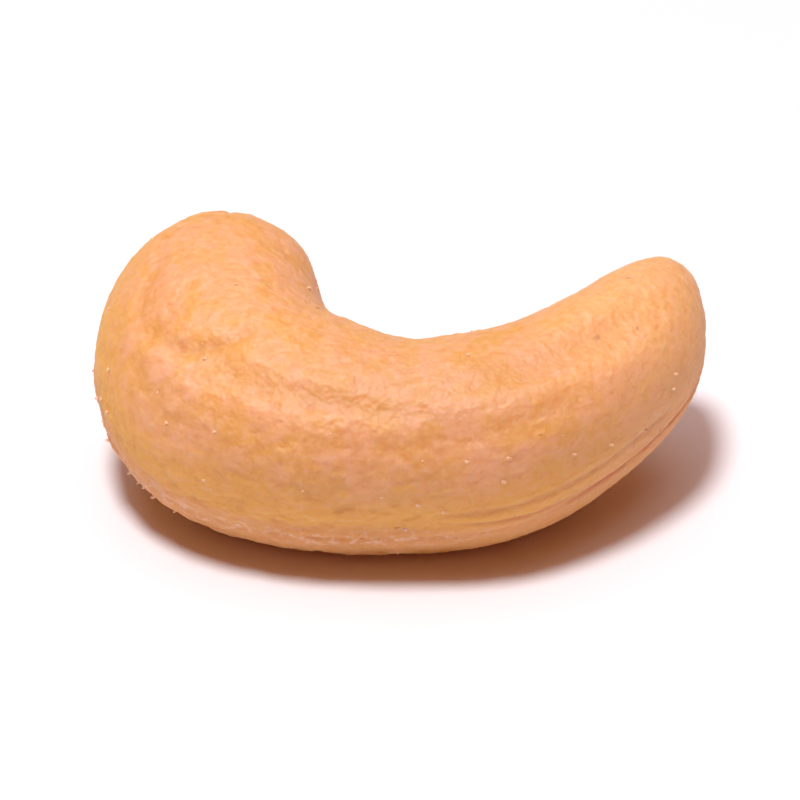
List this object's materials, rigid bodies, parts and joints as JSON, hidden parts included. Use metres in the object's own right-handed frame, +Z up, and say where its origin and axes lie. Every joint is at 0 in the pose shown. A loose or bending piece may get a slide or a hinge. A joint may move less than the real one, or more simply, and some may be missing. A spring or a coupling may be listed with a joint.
{
  "type": "roasted cashew nut",
  "caption": "Whole roasted cashew kernel: a bent, tapering nut with a blunt lobe, an inner bay and a seam groove, lying on its broad side.",
  "frame": {"origin": "bottom centre of the bounding box, on the flat spot that the nut rests on", "axes": "+X along the nut from the blunt lobe to the slim end, +Y from the outer curve towards the inner bay, +Z up"},
  "size_m": [0.0278, 0.0158, 0.0122],
  "materials": {
    "roasted_kernel": "creamy golden roasted nut flesh with a soft satin sheen",
    "salt": "small whitish salt grains"
  },
  "bodies": {
    "root": {"cashew_kernel": "roasted_kernel"}
  },
  "joints": []
}
